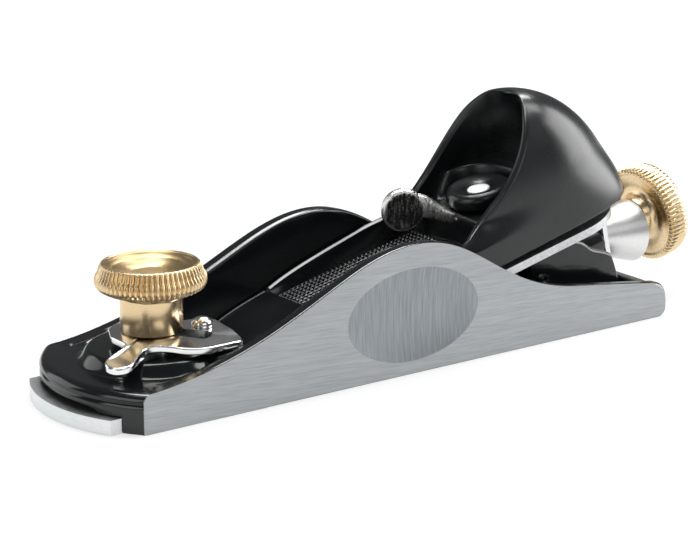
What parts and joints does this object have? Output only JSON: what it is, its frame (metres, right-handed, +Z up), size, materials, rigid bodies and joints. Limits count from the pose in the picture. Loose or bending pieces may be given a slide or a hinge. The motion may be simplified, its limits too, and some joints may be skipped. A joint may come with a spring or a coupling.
{
  "type": "block plane",
  "caption": "Small low-angle block plane with adjustable mouth, brass front knob, cam-locked palm cap and screw-fed cutter.",
  "frame": {"origin": "on the sole, on the middle plane, midway along the straight part of the ground sides", "axes": "+X along the plane from toe to heel, +Z up from the sole, +Y to the side away from the lever's tongue"},
  "size_m": [0.1829, 0.0444, 0.0583],
  "materials": {
    "enamelled_iron": "gloss black enamel",
    "ground_iron": "surface ground",
    "brass": "turned and lacquered",
    "bright_steel": "polished",
    "blade_steel": "ground flat",
    "cast_steel": "rough cast with a polished rim",
    "nickel": "nickel plated"
  },
  "bodies": {
    "frame": {"body": "enamelled_iron", "lever_pivot": "bright_steel", "lever_cap": "enamelled_iron", "cap_screw": "bright_steel", "cam_pivot": "bright_steel", "lateral_pivot": "bright_steel", "post_pin": "bright_steel"},
    "throat": {"throat_plate": "ground_iron", "throat_stud": "bright_steel"},
    "knob": {"front_knob": "brass"},
    "lever": {"throat_lever": "bright_steel"},
    "cam": {"cam_lever": "cast_steel"},
    "wheel": {"depth_wheel": "brass", "depth_screw": "blade_steel", "screw_ring": "blade_steel", "wheel_pin": "bright_steel"},
    "slide": {"adjuster_slide": "blade_steel"},
    "blade": {"cutter": "blade_steel"},
    "lateral": {"lateral_lever": "nickel", "lateral_disc": "bright_steel", "disc_rivet": "bright_steel"}
  },
  "joints": [
    {"name": "throat_slide", "type": "slide", "parent": "frame", "child": "throat", "axis": [1, 0, 0], "range_m": [0, 0.0016]},
    {"name": "knob_turn", "type": "hinge", "parent": "throat", "child": "knob", "pos_m": [-0.0604, 0, 0.02], "axis": [0, 0, 1], "range_deg": [0, 360]},
    {"name": "lever_turn", "type": "hinge", "parent": "frame", "child": "lever", "pos_m": [-0.0496, -0.0036, 0.0144], "axis": [0, 0, 1], "range_deg": [-40, 0]},
    {"name": "cam_turn", "type": "hinge", "parent": "frame", "child": "cam", "pos_m": [0.03433, 0, 0.02863], "axis": [-0.2334, 0, 0.9724], "range_deg": [0, 50]},
    {"name": "wheel_turn", "type": "hinge", "parent": "frame", "child": "wheel", "pos_m": [0.09026, 0, 0.02098], "axis": [0.9724, 0, 0.2334], "range_deg": [-630.2, 1125.2]},
    {"name": "cutter_feed", "type": "slide", "parent": "frame", "child": "slide", "axis": [0.9724, 0, 0.2334], "range_m": [-0.0014, 0.0025]},
    {"name": "cutter_tilt", "type": "hinge", "parent": "slide", "child": "blade", "pos_m": [-0.00807, 0, 0.00817], "axis": [-0.2334, 0, 0.9724], "range_deg": [-0.7, 0.7]},
    {"name": "lateral_turn", "type": "hinge", "parent": "frame", "child": "lateral", "pos_m": [0.06272, 0, 0.02516], "axis": [-0.2334, 0, 0.9724], "range_deg": [-3, 3]}
  ],
  "couplings": [
    {"joint": "lever_turn", "follows": "throat_slide", "rad_per_m": -436},
    {"joint": "wheel_turn", "follows": "cutter_feed", "rad_per_m": 7854},
    {"joint": "cutter_tilt", "follows": "lateral_turn", "ratio": -0.2174}
  ]
}
